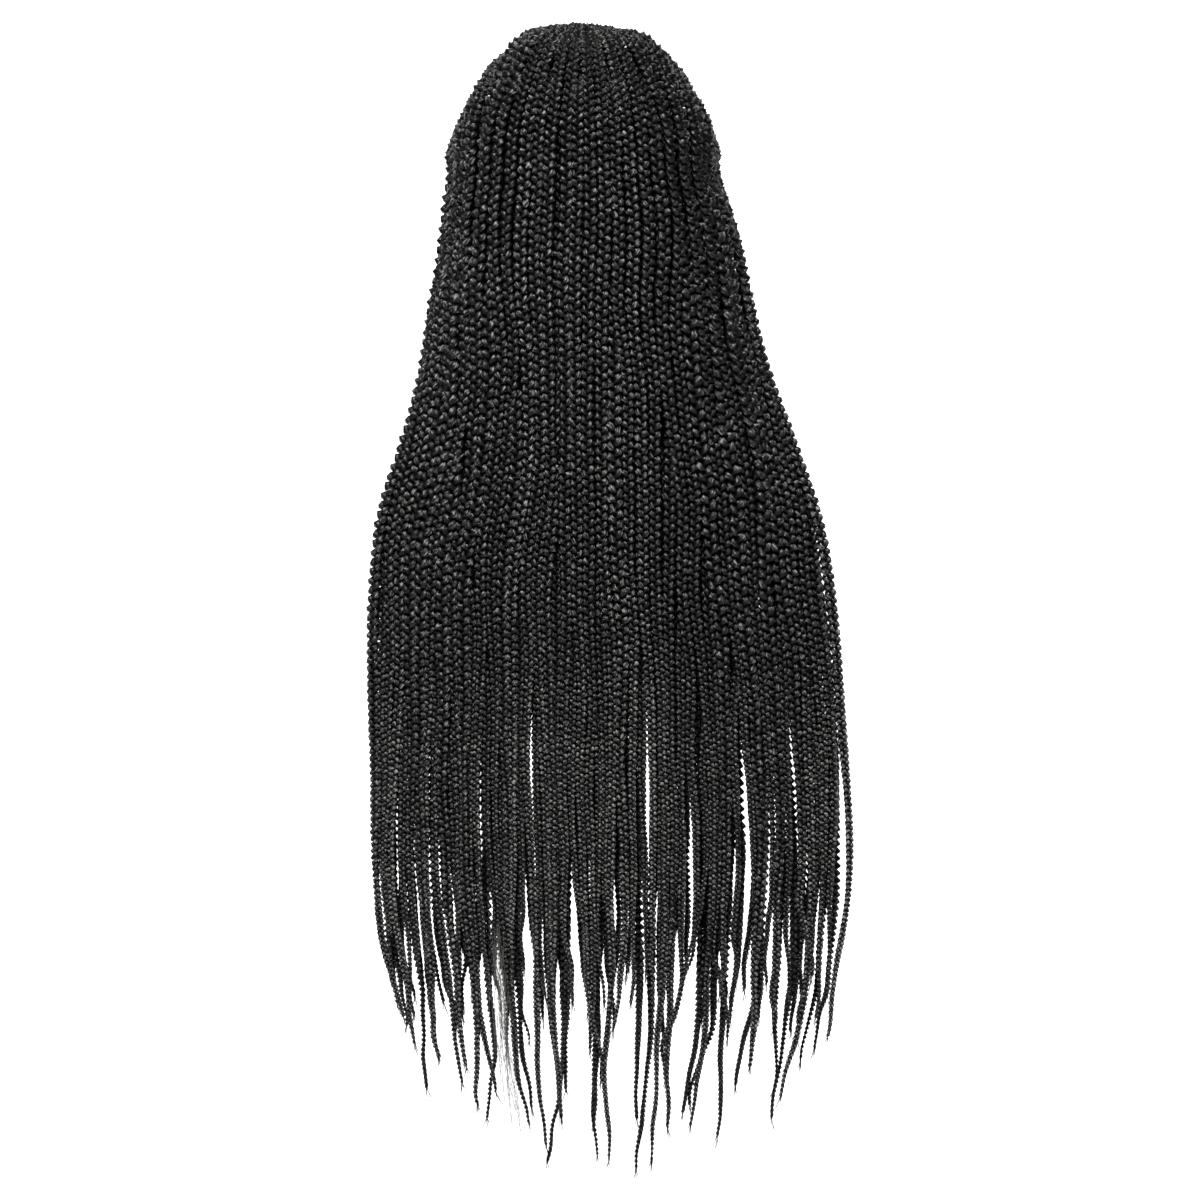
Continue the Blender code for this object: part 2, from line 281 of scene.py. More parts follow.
# Wisps past the tips. They start this far back, spread, droop and taper, as shares of the braid's width
# or of their length.
WISP_HAIRS = 5
WISP_SAMPLES = 5
WISP_LENGTHS = (0.004, 0.013)
WISP_START = 0.25
WISP_OFFSET = 0.12
WISP_SPREAD = 0.28
WISP_BEND = 1.6
WISP_DROOP = 0.35
WISP_RADIUS = 0.17
WISP_TAPER = 0.8
WISP_FLATNESS = 0.8
LEAST_WISP_RADIUS = 0.00008

# Loose hair: the lock it comes from, its share of the reach, depths, number and radius
LOOSE_LOCK = "front_braids_09"
LOOSE_PLACE = 0.42
LOOSE_DEPTHS = (0.700, 0.885)
LOOSE_HAIRS = 60
LOOSE_SAMPLES = 18
LOOSE_RADIUS = 0.00018
LOOSE_WIDTH = 0.0022
LOOSE_SPREAD = 0.0060
LOOSE_WAVE = (0.16, 0.0022)
LOOSE_LIFT = 0.0010
# A hair ends sooner by up to this share of the depths, and starts lower by up to this many metres
LOOSE_SHORTER = 0.35
LOOSE_LOWER = 0.07
LOOSE_TONE = 2.0
# The loose hair's even level of painted light, in place of a crest
LOOSE_CREST = 0.7

# Hair: what its tone counts, the colour by the mixed tone, and from which range to which the crest and the
# flecks are moved. The crest puts a painted highlight on top of each strand and painted shade in the
# grooves into the colour, and makes the tops glossier.
TONE_WEIGHT = 0.10
# The darkest stops are the fibres' own near-black tone; the two light grey stops paint glints on the fibres
HAIR_COLOURS = (
    (0.46, (0.0008, 0.0008, 0.0008)),
    (0.545, (0.0035, 0.0035, 0.0034)),
    (0.60, (0.0750, 0.0750, 0.0720)),
    (0.68, (0.3200, 0.3200, 0.3080)),
)
CREST_PAINTED_LIGHT = ((0.35, 1.0), (-0.28, 0.085))
CREST_GLOSS = ((0.30, 1.0), (0.12, 0.44))
FLECK_ROUGHNESS = ((0.0, 1.0), (0.60, 0.32))
# Cap's net: the colour between the threads and on them
NET_COLOURS = ((0.25, (0.0030, 0.0030, 0.0030)), (0.85, (0.0280, 0.0280, 0.0270)))
NET_SCALE = 260.0

# Studio: a floor that bends up into a wall, which glows faintly so that it is plain white in the picture
FLOOR = -1.25
SWEEP_FRONT = 4.0
SWEEP_HALF_WIDTH = 4.0
BEND_START = -1.6
BEND = 0.8
BEND_STEPS = 12
WALL_TOP = 3.4
WALL_GLOW = 0.95
WORLD_STRENGTH = 0.05
LIGHTS = (
    # name, place, aim, size, power
    ("key_light", (0.7, 2.8, 2.8), (0.0, 0.0, -0.45), 0.7, 200.0),
    ("fill_light", (-2.4, 2.8, 0.4), (0.0, 0.0, -0.45), 0.8, 18.0),
)
# Camera: straight on from behind, level, with a long lens. The sensor is in millimetres.
SENSOR = 36.0
CAMERA_DISTANCE = 20.0
VIEW_WIDTH = 0.9516
VIEW_MIDDLE = (-0.0127, 0.07, -0.4455)


def smooth(low, high, value):
    t = np.clip((value - low) / (high - low), 0.0, 1.0)
    return t * t * (3.0 - 2.0 * t)


def table_value(column, depth):
    """Smooth reading of the curtain's table."""
    knots = CURTAIN[:, DEPTH]
    values = CURTAIN[:, column]
    depth = np.clip(depth, knots[0], knots[-1])
    i = np.clip(np.searchsorted(knots, depth, side="right") - 1, 0, len(knots) - 2)
    t = (depth - knots[i]) / (knots[i + 1] - knots[i])
    start = values[i]
    end = values[i + 1]
    slope_in = 0.5 * (end - values[np.maximum(i - 1, 0)])
    slope_out = 0.5 * (values[np.minimum(i + 2, len(knots) - 1)] - start)
    bend = 2.0 * start - 2.0 * end + slope_in + slope_out
    turn = 3.0 * end - 3.0 * start - 2.0 * slope_in - slope_out
    return ((bend * t + turn) * t + slope_in) * t + start


def side_layer(across):
    return LAYER * (1.0 + SIDE_FULLNESS * smooth(*SIDE_PLACES, np.abs(across)))


def early(across):
    """How much sooner the inner rows start at the sides, as a share of the way."""
    return EARLY * smooth(*EARLY_PLACES, np.abs(across))


def head_direction(across, share):
    """Directions from the middle of the head: curves from the parting that end straight down."""
    side = np.radians(SIDE_REACH * across)
    far = np.abs(across)
    ring = math.sin(math.radians(CROWN_RING))
    crown = (ring * np.sin(side), ring * np.cos(side) - CROWN_FORWARD, 1.0 + 0.0 * far)
    crown = np.stack(crown, axis=-1)
    parts = [np.interp(far, PARTING[:, 0], PARTING[:, column]) for column in range(1, 5)]
    parting = np.stack((np.copysign(parts[0], across), parts[1], parts[2]), axis=-1)
    start = unit(np.where((far <= PARTING[0, 0])[:, None], crown, parting))
    fall = np.radians(parts[3])
    turning = np.stack((np.sin(fall) * np.sin(side), np.sin(fall) * np.cos(side), np.cos(fall)), axis=-1)
    end = np.stack((np.sin(side), np.cos(side), 0.0 * side), axis=-1)
    rest = (1.0 - share)[:, None]
    share = share[:, None]
    return unit(start * rest ** 2 + turning * (2.0 * rest * share) + end * share ** 2)


def head_point(across, share, lift):
    """Points above the cap, by the share of the way from the parting to where the braids leave the head."""
    toward = head_direction(across, share)
    away = np.hypot(CAP_HALF_WIDTH * toward[:, 0] - SWELLING_PLACE[0],
                    CAP_HALF_DEPTH * toward[:, 1] - SWELLING_PLACE[1])
    lift = lift + SWELLING * np.exp(-(away / SWELLING_REACH) ** 2)
    return np.stack(((CAP_HALF_WIDTH + CAP_WALL + lift) * toward[:, 0],
                     (CAP_HALF_DEPTH + CAP_WALL + lift) * toward[:, 1],
                     (CAP_HEIGHT + CAP_WALL + lift) * toward[:, 2] - CAP_HEIGHT), axis=-1)


def curtain_outer(across, depth):
    """Points on the outermost face of the hanging curtain."""
    full = math.radians(SIDE_REACH)
    side = full * across
    evenness = table_value(EVENNESS, depth)
    share = (1.0 - evenness) * np.sin(side) / math.sin(full) + evenness * across
    reach = np.where(across > 0.0, table_value(REACH_LEFT, depth), table_value(REACH_RIGHT, depth))
    bulge = (np.cos(side) - math.cos(full)) / (1.0 - math.cos(full))
    back = table_value(EDGE_DEPTH, depth) + table_value(BULGE, depth) * bulge
    return np.stack((share * reach, back, -depth + 0.0 * across), axis=-1)


def across_of(share, depth):
    """Where across the hair the curtain has this share of its reach, at each depth."""
    full = math.radians(SIDE_REACH)
    evenness = table_value(EVENNESS, depth)
    across = share + 0.0 * depth
    for _ in range(NEWTON_STEPS):
        value = (1.0 - evenness) * np.sin(full * across) / math.sin(full) + evenness * across
        slope = (1.0 - evenness) * full * np.cos(full * across) / math.sin(full) + evenness
        step = (value - share) / np.maximum(slope, LEAST_SLOPE)
        across = np.clip(across - step, -MOST_ACROSS, MOST_ACROSS)
    return across


def curtain_point(across, depth, inward):
    """Points this far inward of the curtain's outermost face."""
    along = curtain_outer(across + SLOPE_STEP, depth) - curtain_outer(across - SLOPE_STEP, depth)
    face = np.stack((-along[..., 1], along[..., 0], 0.0 * along[..., 0]), axis=-1)
    face /= np.linalg.norm(face, axis=-1, keepdims=True)
    return curtain_outer(across, depth) - face * np.asarray(inward)[..., None]


def flow(across, along, level, rise):
    """Points of the hair. Along is in metres, under zero on the head and over zero in the curtain."""
    share = np.minimum(1.0, 1.0 + along / HEAD_WAY)
    side = side_layer(across)
    sooner = share + early(across)
    layers = 1.0 + smooth(*SECOND_LAYER, sooner) + smooth(*THIRD_LAYER, sooner)
    above = np.maximum(0.5, layers - level - 0.5)
    on_head = head_point(across, share, HEAD_CLEARANCE + above * side + rise)
    depth = CAP_HEIGHT + np.maximum(along, 0.0)
    size = side + (table_value(LAYER_DEPTH, depth) - side) * smooth(0.0, LAYER_EASING, along)
    hanging = curtain_point(across, depth, (level + 0.5) * size - rise)
    top = 0.0 * along + CAP_HEIGHT
    leaving = head_point(across, 0.0 * along + 1.0, HEAD_CLEARANCE + (2.5 - level) * side + rise)
    step = leaving - curtain_point(across, top, (level + 0.5) * side - rise)
    hanging = hanging + step * (1.0 - smooth(0.0, STEP_EASING, along))[:, None]
    return np.where((along < 0.0)[:, None], on_head, hanging)


def waves(rng, along, longest, amount):
    """A slow wander: a long wave and a shorter, smaller one, each with a random start."""
    first = np.sin(2.0 * math.pi * (along / longest + rng.random()))
    second = np.sin(2.0 * math.pi * (along / (SECOND_WAVE * longest) + rng.random()))
    return amount * (WAVE_SIZES[0] * first + WAVE_SIZES[1] * second)


def unit(vectors):
    return vectors / np.maximum(np.linalg.norm(vectors, axis=-1, keepdims=True), 1e-12)


class Strands:
    """Collects closed tubes and makes them one mesh, with a UV map along and round each tube."""

    def __init__(self):
        self.points = []
        self.faces = []
        self.uvs = []
        self.tones = []
        self.crest_lights = []
        self.count = 0

    def add(self, lines, wide, deep, face, length, tone, crest_light, sides):
        """Lines are (tubes, samples, 3); wide and deep the radii; face the braid's outward side; crest says
        how far a strand lies on top of the others and faces up there, from 0 to 1, and is painted into the
        colour as a highlight on top and as shade in the grooves."""
        tubes, samples, _ = lines.shape
        ahead = unit(np.gradient(lines, axis=1))
        across = unit(np.cross(ahead, face))
        outward = np.cross(ahead, across)
        turn = 2.0 * math.pi * np.arange(sides) / sides
        ring = (across[:, :, None, :] * (wide[..., None] * np.cos(turn))[..., None]
                + outward[:, :, None, :] * (deep[..., None] * np.sin(turn))[..., None])
        points = lines[:, :, None, :] + ring
        index = self.count + np.arange(tubes * samples * sides).reshape(tubes, samples, sides)
        after = np.roll(index, -1, axis=2)
        quads = np.stack((index[:, :-1], after[:, :-1], after[:, 1:], index[:, 1:]), axis=-1)
        u = np.broadcast_to(length, (tubes, samples))
        low = np.broadcast_to(u[:, :-1, None], quads.shape[:3])
        high = np.broadcast_to(u[:, 1:, None], quads.shape[:3])
        start = np.broadcast_to(np.arange(sides) / sides, quads.shape[:3])
        end = start + 1.0 / sides
        uv = np.stack((np.stack((low, start), -1), np.stack((low, end), -1),
                       np.stack((high, end), -1), np.stack((high, start), -1)), axis=3)
        self.points.append(points.reshape(-1, 3))
        self.faces.append(quads.reshape(-1, 4))
        self.uvs.append(uv.reshape(-1, 2))
        self.tones.append(np.repeat(np.broadcast_to(tone, (tubes,)), samples * sides))
        self.crest_lights.append(np.repeat(np.broadcast_to(crest_light, (tubes, samples)).reshape(-1), sides))
        for ends, at in ((index[:, 0, ::-1], 0), (index[:, -1], -1)):
            if sides == 3:
                ends = np.concatenate((ends, ends[:, :1]), axis=1)
            self.faces.append(ends.reshape(-1, 4))
            self.uvs.append(np.repeat(np.stack((u[:, at], 0.0 * u[:, at]), -1), 4, axis=0))
        self.count += tubes * samples * sides

    def make(self, name):
        points = np.concatenate(self.points)
        faces = np.concatenate(self.faces)
        uvs = np.concatenate(self.uvs)
        corners = faces.reshape(-1)
        sizes = np.where(faces[:, 0] == faces[:, 3], 3, 4)
        keep = np.ones(len(corners), dtype=bool)
        keep[3::4] = sizes == 4
        corners = corners[keep]
        uvs = uvs[keep]
        mesh = bpy.data.meshes.new(name)
        mesh.vertices.add(len(points))
        mesh.vertices.foreach_set("co", points.reshape(-1))
        mesh.loops.add(len(corners))
        mesh.loops.foreach_set("vertex_index", corners)
        mesh.polygons.add(len(sizes))
        mesh.polygons.foreach_set("loop_start", np.concatenate(([0], np.cumsum(sizes)[:-1])))
        mesh.polygons.foreach_set("use_smooth", np.ones(len(sizes), dtype=bool))
        layer = mesh.uv_layers.new(name="along_strand")
        layer.uv.foreach_set("vector", uvs.reshape(-1))
        for label, values in (("tone", self.tones), ("crest_light", self.crest_lights)):
            attribute = mesh.attributes.new(label, "FLOAT", "POINT")
            attribute.data.foreach_set("value", np.concatenate(values))
        mesh.update(calc_edges=True)
        mesh.validate()
        obj = bpy.data.objects.new(name, mesh)
        bpy.context.scene.collection.objects.link(obj)
        return obj


def plan_braids(rng):
    """One entry per braid: its lock, where it starts, its share of the reach at each depth, and its fate,
    which settles how far down it ends."""
    plan = []
    for name, locks, braids, reach, layer, start in ROWS:
        for i in range(locks * braids):
            plan.append({
                "name": f"{name}_{i // braids + 1:02d}", "layer": layer, "start": start,
                "across": -reach + 2.0 * reach * (i + 0.5) / (locks * braids),
                "column": None, "rises": -1.0,
            })
    front = [b for b in plan if b["layer"] == FRONT]
    crown = [b for b in plan if b["layer"] == CROWN]
    for k in range(COLUMNS):
        share = -1.0 + 2.0 * (k + 0.5) / COLUMNS
        place = float(across_of(share, np.array([CAP_HEIGHT]))[0])
        free = [b for b in front if b["column"] is None]
        braid = min(free, key=lambda b: abs(b["across"] - place))
        braid["column"] = k
        braid["across"] = place + COLUMN_SHIFTS[k % 3]
    between = [b for b in front if b["column"] is None]
    for row, (first, last) in ((between, FRONT_RISES), (crown, CROWN_RISES)):
        for place, i in enumerate(sorted(range(len(row)), key=lambda i: (i * SPACING_TURN) % 1.0)):
            row[i]["rises"] = first + (last - first) * (place + 0.5) / len(row)

    outer = sorted(front + crown, key=lambda b: b["across"])
    shown = np.stack([smooth(b["rises"] - RISING, b["rises"] + RISING, SPACING_DEPTHS) for b in outer])
    passed = np.cumsum(shown, axis=0) - 0.5 * shown
    shares = -1.0 + 2.0 * passed / shown.sum(axis=0)
    for braid, row in zip(outer, shares):
        braid["share"] = row
    inner = sorted((b for b in plan if b["layer"] in (BACK, NAPE)), key=lambda b: b["across"])
    for i, braid in enumerate(inner):
        beside = int((i + 0.5) * (len(outer) - 1) / len(inner))
        braid["share"] = 0.5 * (shares[beside] + shares[beside + 1])
    for i, braid in enumerate(sorted(plan, key=lambda b: b["share"][-1])):
        braid["fate"] = (i * SPACING_TURN + rng.normal(0.0, FATE_SCATTER)) % 1.0
    return plan


def clusters(rng, plan):
    """Groups neighbours, outer and inner ones alike, which draw together low down and leave slits. The
    thick braid is in no group with those before it."""
    outer = (b for b in plan if b["layer"] in (FRONT, CROWN))
    thickest = min(outer, key=lambda b: abs(b["share"][-1] - THICK_PLACE))
    thickest["size"] = THICK
    ordered = sorted(plan, key=lambda b: b["share"][-1])
    first = 0
    while first < len(ordered):
        last = min(first + int(rng.choice(GROUP_SIZES)), len(ordered))
        thick = [i for i in range(first, last) if ordered[i] is thickest]
        if thick:
            last = max(thick[0], first + 1)
        members = ordered[first:last]
        shares = [b["share"][-1] for b in members]
        first = last
        pull = rng.uniform(*GROUP_PULLS) / max(0.5 * (shares[-1] - shares[0]), LEAST_GROUP_REACH)
        group = {"centre": float(np.mean(shares)), "drift": rng.normal(0.0, GROUP_DRIFT),
                 "opens": rng.uniform(*GROUP_OPENS), "draw": min(pull, MOST_DRAW),
                 "turn": rng.uniform(0.0, 1.0)}
        for order, braid in enumerate(members):
            braid["group"] = group
            braid["order"] = order


def braid_span(rng, braid):
    """Where along the hair the braid starts and ends."""
    end = float(np.interp(braid["fate"], END_SHARES, END_STEPS))
    lowest = float(np.interp(braid["share"][-1], END_PLACES, END_DEPTHS))
    if end > lowest:
        end = lowest - END_SCATTER * rng.random()
    far = abs(braid["across"])
    if braid["layer"] == NAPE:
        return float(np.interp(far, NAPE_PLACES, NAPE_DEPTHS)) - CAP_HEIGHT, end - CAP_HEIGHT
    if braid["layer"] == FRONT and far < PARTING[0, 0]:
        start = BENEATH_START if braid["column"] is None else COLUMN_STARTS[braid["column"] % 3]
    elif braid["layer"] == FRONT:
        start = braid["start"]
    else:
        start = braid["start"] - float(early(braid["across"]))
    return (start - 1.0) * HEAD_WAY, end - CAP_HEIGHT


def place_across(braid, along, depth, shown, tail):
    """Where across the hair the braid runs: from its root to its share of the reach, then in its group."""
    group = braid["group"]
    drawn = smooth(group["opens"], group["opens"] + GROUP_OPENING, depth) ** DRAW_POWER
    drawn = drawn * (1.0 - CLOSING_SHARE * smooth(*GROUP_CLOSING, depth))
    share = np.interp(depth, SPACING_DEPTHS, braid["share"])
    share = share + drawn * (group["draw"] * (group["centre"] - share) + group["drift"])
    share = np.clip(share, -MOST_SHARE, MOST_SHARE)
    if braid["column"] is not None:
        joining = smooth(*COLUMN_JOINS, along)
    elif braid["layer"] in (FRONT, CROWN):
        joining = shown
    else:
        joining = smooth(*INNER_JOINS, along)
    across = braid["across"] + (across_of(share, depth) - braid["across"]) * joining
    sway = SWAY * smooth(0.0, SWAY_DEPTH, depth - SWAY_TOP)
    sway = sway * np.sin(2.0 * math.pi * SWAY_WAVES * across + SWAY_BY_LAYER * 0.5 - SWAY_TURN * depth)
    winding = np.sin(2.0 * math.pi * (along / GROUP_WINDING_LENGTH + group["turn"]))
    return across + sway + GROUP_WINDING * tail * winding


def level_of(braid, along, shown):
    """The layer that the braid lies in at each point, from 0 for the outermost."""
    begin = along[0]
    if braid["layer"] != FRONT:
        first, lift, lower, upper = INNER_LEVELS[braid["layer"]]
        level = first - lift * smooth(lower, upper, along)
        return level - CROWN_LIFT * shown if braid["layer"] == CROWN else level
    if braid["column"] is None:
        beneath = DEEPER * (1.0 - float(smooth(*BENEATH_PLACES, abs(braid["across"]))))
        arriving = smooth(*BENEATH_ARRIVES, along) if begin < BENEATH_ABOVE else 1.0
        return beneath * arriving * (1.0 - shown)
    if braid["column"] % 3 == 1:
        return DEEPER * (1.0 - smooth(0.0, DEEPER_LENGTH, along - begin))
    return np.zeros(len(along))


def braid_width(rng, braid, depth, length, low):
    """The braid's width along it, by the depth and by how near its root and tip are."""
    width = np.minimum(np.interp(depth, WIDTH_DEPTHS, WIDTHS),
                       np.interp(length[-1] - length, TIP_DISTANCES, TIP_WIDTHS))
    width = width * (1.0 + rng.normal(0.0, WIDTH_SCATTER)) * braid.get("size", 1.0)
    if braid["layer"] in (BACK, NAPE):
        width = width * (INNER_SIZE + INNER_SIZE_LOW * low - INNER_SIZE_END * smooth(*INNER_ENDS, depth))
    return width * (1.0 - ROOT_NARROWING + ROOT_NARROWING * smooth(0.0, ROOT_LENGTH, length))


def centre_line(rng, braid):
    """The braid's line, its outward side, its width and its length from the root."""
    begin, end = braid_span(rng, braid)
    along = np.linspace(begin, end, int((end - begin) / LINE_STEP) + 1)
    depth = CAP_HEIGHT + along
    low = smooth(*LOW, depth)
    tail = smooth(*TAIL, depth)
    shown = smooth(braid["rises"] - RISING, braid["rises"] + RISING, depth)
    across = place_across(braid, along, depth, shown, tail)
    level = level_of(braid, along, shown)
    rise = -ROOT_SINKING * (1.0 - smooth(0.0, ROOT_RISE_LENGTH, along - begin))
    rise = rise + waves(rng, along, *RISE_WAVE) + waves(rng, along, *LOW_RISE_WAVE) * low
    rise = rise + STANDING_OUT * (braid["order"] % 2) * tail
    line = flow(across, along, level, rise)

    beside = flow(across + BESIDE_STEP, along, level, rise) - flow(across - BESIDE_STEP, along, level, rise)
    beside = unit(beside)
    wander = waves(rng, along, *ASIDE_WAVE) + waves(rng, along, *LOW_ASIDE_WAVE) * low
    wander = wander + waves(rng, along, *TAIL_WAVE) * tail
    parted = braid.get("aside", 0.0) * smooth(*PARTED_FROM, depth)
    wander = wander + parted * (1.0 - smooth(*PARTED_TO, depth))
    tip = smooth(TIP_BEND, 0.0, end - along)
    loose = 1.0 if rng.random() < BENT_SHARE else SLIGHTLY_BENT
    aside = float(np.clip(rng.normal(0.0, TIP_ASIDE), -MOST_ASIDE, MOST_ASIDE))
    apart = braid.get("apart", 0.0) * np.exp(-((depth - APART_DEPTH) / APART_REACH) ** 2)
    wander = wander + tip * tip * aside * loose + apart
    curl = waves(rng, along, *CURL_WAVE) * tip * loose
    line = line + beside * (wander + curl)[:, None]
    ahead = unit(np.gradient(line, axis=0))
    face = unit(np.cross(beside, ahead))
    outward = line - np.array((0.0, 0.0, -CAP_HEIGHT))
    outward[:, 2] = np.where(along < 0.0, outward[:, 2], 0.0)
    face = face * np.sign(np.sum(face * outward, axis=1))[:, None]
    line = line + face * (tip * loose * waves(rng, along, *CURL_OUT_WAVE))[:, None]
    if braid["layer"] == NAPE:
        line = line + seat_at_nape(line[0]) * (1.0 - smooth(0.0, LAYER_EASING, along - begin))[:, None]

    ahead = unit(np.gradient(line, axis=0))
    steps = np.linalg.norm(np.diff(line, axis=0), axis=1)
    length = np.concatenate(([0.0], np.cumsum(steps)))
    twist = waves(rng, along, *TWIST_WAVE) * (1.0 - low) + waves(rng, along, *LOW_TWIST_WAVE) * low
    beside = unit(np.cross(ahead, face))
    face = face * np.cos(twist)[:, None] + beside * np.sin(twist)[:, None]
    return line, face, braid_width(rng, braid, depth, length, low), length


def seat_at_nape(root):
    """The step that brings a nape braid's root down onto the cap."""
    below = -CAP_HEIGHT - root[2]
    size = 1.0 - NAPE_NARROWING * (below / NAPE_REACH) ** 2
    width = (CAP_HALF_WIDTH + CAP_WALL) * size
    depth = (CAP_HALF_DEPTH + CAP_WALL) * size
    far = math.hypot(root[0] / width, root[1] / depth)
    seat = np.array((root[0], root[1], 0.0)) / far
    out = seat / np.linalg.norm(seat)
    return seat + out * NAPE_ROOT_LIFT - np.array((root[0], root[1], 0.0))


def plait(rng, strands, braid, line, face, width, length):
    """Adds the three strands of a braid and the wisp at its tip."""
    visible = braid["layer"] in (FRONT, CROWN)
    steps = STEPS_SHOWN if visible else STEPS_HIDDEN
    period = np.maximum(width * PERIOD * (1.0 if visible else INNER_PERIOD), LEAST_PERIOD)
    phase = np.concatenate(([0.0], np.cumsum(np.diff(length) / (0.5 * (period[1:] + period[:-1])))))
    turns = np.arange(0, int(phase[-1] * steps) + 1) / steps
    at = np.interp(turns, phase, length)
    centre = np.stack([np.interp(at, length, line[:, k]) for k in range(3)], axis=-1)
    out = unit(np.stack([np.interp(at, length, face[:, k]) for k in range(3)], axis=-1))
    ahead = unit(np.gradient(centre, axis=0))
    beside = unit(np.cross(ahead, out))
    out = np.cross(beside, ahead)
    wide = np.interp(at, length, width)
    spacing = np.interp(at, length, period)
    fine = smooth(*FINE, wide)
    swing = STRAND_SWINGS[0] + (STRAND_SWINGS[1] - STRAND_SWINGS[0]) * fine
    broad = STRAND_WIDES[0] + (STRAND_WIDES[1] - STRAND_WIDES[0]) * fine
    phases = 2.0 * math.pi * (turns[None, :] + np.arange(3)[:, None] / 3.0)
    on_top = -np.sin(2.0 * phases)
    rising = -np.sin(2.0 * phases + CREST_LEAD)
    lines = (centre[None] + beside[None] * (swing * wide * np.sin(phases))[..., None]
             + out[None] * (STRAND_RISE * wide * on_top)[..., None]
             - ahead[None] * (STRAND_FLATTENING * spacing * np.cos(2.0 * phases))[..., None])
    thick = wide * (1.0 + STRAND_SWELL * rising)
    uneven = 1.0 + STRAND_UNEVENNESS * np.sin(phases * UNEVEN_TURN + rng.random((3, 1)) * UNEVEN_START)
    face_of = np.broadcast_to(out, lines.shape)
    tone = braid["tone"] + rng.normal(0.0, STRAND_TONES, 3)
    # Painted light and shade: lighter on each strand's rising flank, which faces the light from above,
    # darker in the grooves
    crest_light = 0.5 - FINE_PAINTED_SHADE * fine + (0.5 + FINE_PAINTED_CONTRAST * fine) * rising
    strands.add(lines, broad * thick * uneven, STRAND_DEEP * thick * uneven, face_of, at, tone,
                crest_light, STRAND_SIDES)
    wisp(rng, strands, centre[-1], ahead[-1], out[-1], beside[-1], float(wide[-1]), at[-1], braid["tone"])


def wisp(rng, strands, tip, ahead, out, beside, width, length, tone):
    """The loose hair past the last crossing of a braid."""
    share = np.linspace(0.0, 1.0, WISP_SAMPLES)
    reach = rng.uniform(*WISP_LENGTHS, WISP_HAIRS)
    spread = rng.normal(0.0, WISP_SPREAD, (WISP_HAIRS, 2))
    ahead_part = share[None, :] * reach[:, None]
    side_part = share[None, :] ** WISP_BEND * reach[:, None]
    offset = rng.normal(0.0, WISP_OFFSET * width, (WISP_HAIRS, 2))
    lines = (tip - WISP_START * width * ahead)[None, None] + ahead * ahead_part[..., None]
    lines = lines + beside * (offset[:, :1] + side_part * spread[:, :1])[..., None]
    lines = lines + out * (offset[:, 1:] + side_part * spread[:, 1:])[..., None]
    lines = lines + np.array((0.0, 0.0, -1.0)) * (WISP_DROOP * side_part)[..., None]
    radius = np.maximum(WISP_RADIUS * width * (1.0 - share) ** WISP_TAPER, LEAST_WISP_RADIUS)
    radius = np.broadcast_to(radius, (WISP_HAIRS, WISP_SAMPLES))
    strands.add(lines, radius, WISP_FLATNESS * radius, np.broadcast_to(out, lines.shape),
                length + ahead_part, tone, 0.5, WISP_SIDES)


def loose_hairs(rng, strands):
    """A thin bundle of loose hair that has come out of the braids near their tips."""
    depth = np.linspace(*LOOSE_DEPTHS, LOOSE_SAMPLES)
    low = (depth - depth[0]) / (depth[-1] - depth[0])
    face = np.array((0.0, 1.0, 0.0))
    lines = []
    for _ in range(LOOSE_HAIRS):
        end = 1.0 - LOOSE_SHORTER * rng.random() ** 2
        top = depth[0] + LOOSE_LOWER * rng.random()
        own = top + (depth[-1] - top) * end * low
        line = curtain_outer(across_of(LOOSE_PLACE, own), own) + face * rng.normal(LOOSE_LIFT, LOOSE_LIFT)
        line[:, 0] += (rng.normal(0.0, LOOSE_WIDTH) + low * rng.normal(0.0, LOOSE_SPREAD)
                       + waves(rng, own, *LOOSE_WAVE))
        lines.append(line)
    radius = np.broadcast_to(LOOSE_RADIUS * (1.0 - 0.6 * low), (LOOSE_HAIRS, LOOSE_SAMPLES))
    lines = np.array(lines)
    strands.add(lines, radius, radius, np.broadcast_to(face, lines.shape), depth,
                LOOSE_TONE, LOOSE_CREST, WISP_SIDES)


def shader_group(name, inputs, outputs):
    """A shader node group with named sockets."""
    group = bpy.data.node_groups.new(name, "ShaderNodeTree")
    for label, kind, value in inputs:
        socket = group.interface.new_socket(name=label, in_out="INPUT", socket_type=kind)
        if value is not None:
            socket.default_value = value
    for label, kind in outputs:
        group.interface.new_socket(name=label, in_out="OUTPUT", socket_type=kind)
    start = group.nodes.new("NodeGroupInput")
    end = group.nodes.new("NodeGroupOutput")
    return group, start, end


def math_node(tree, operation, first, second):
    """A maths node; either value is a number or a socket to link."""
    node = tree.nodes.new("ShaderNodeMath")
    node.operation = operation
    for socket, value in zip(node.inputs, (first, second)):
        if hasattr(value, "links"):
            tree.links.new(value, socket)
        else:
            socket.default_value = value
    return node.outputs[0]


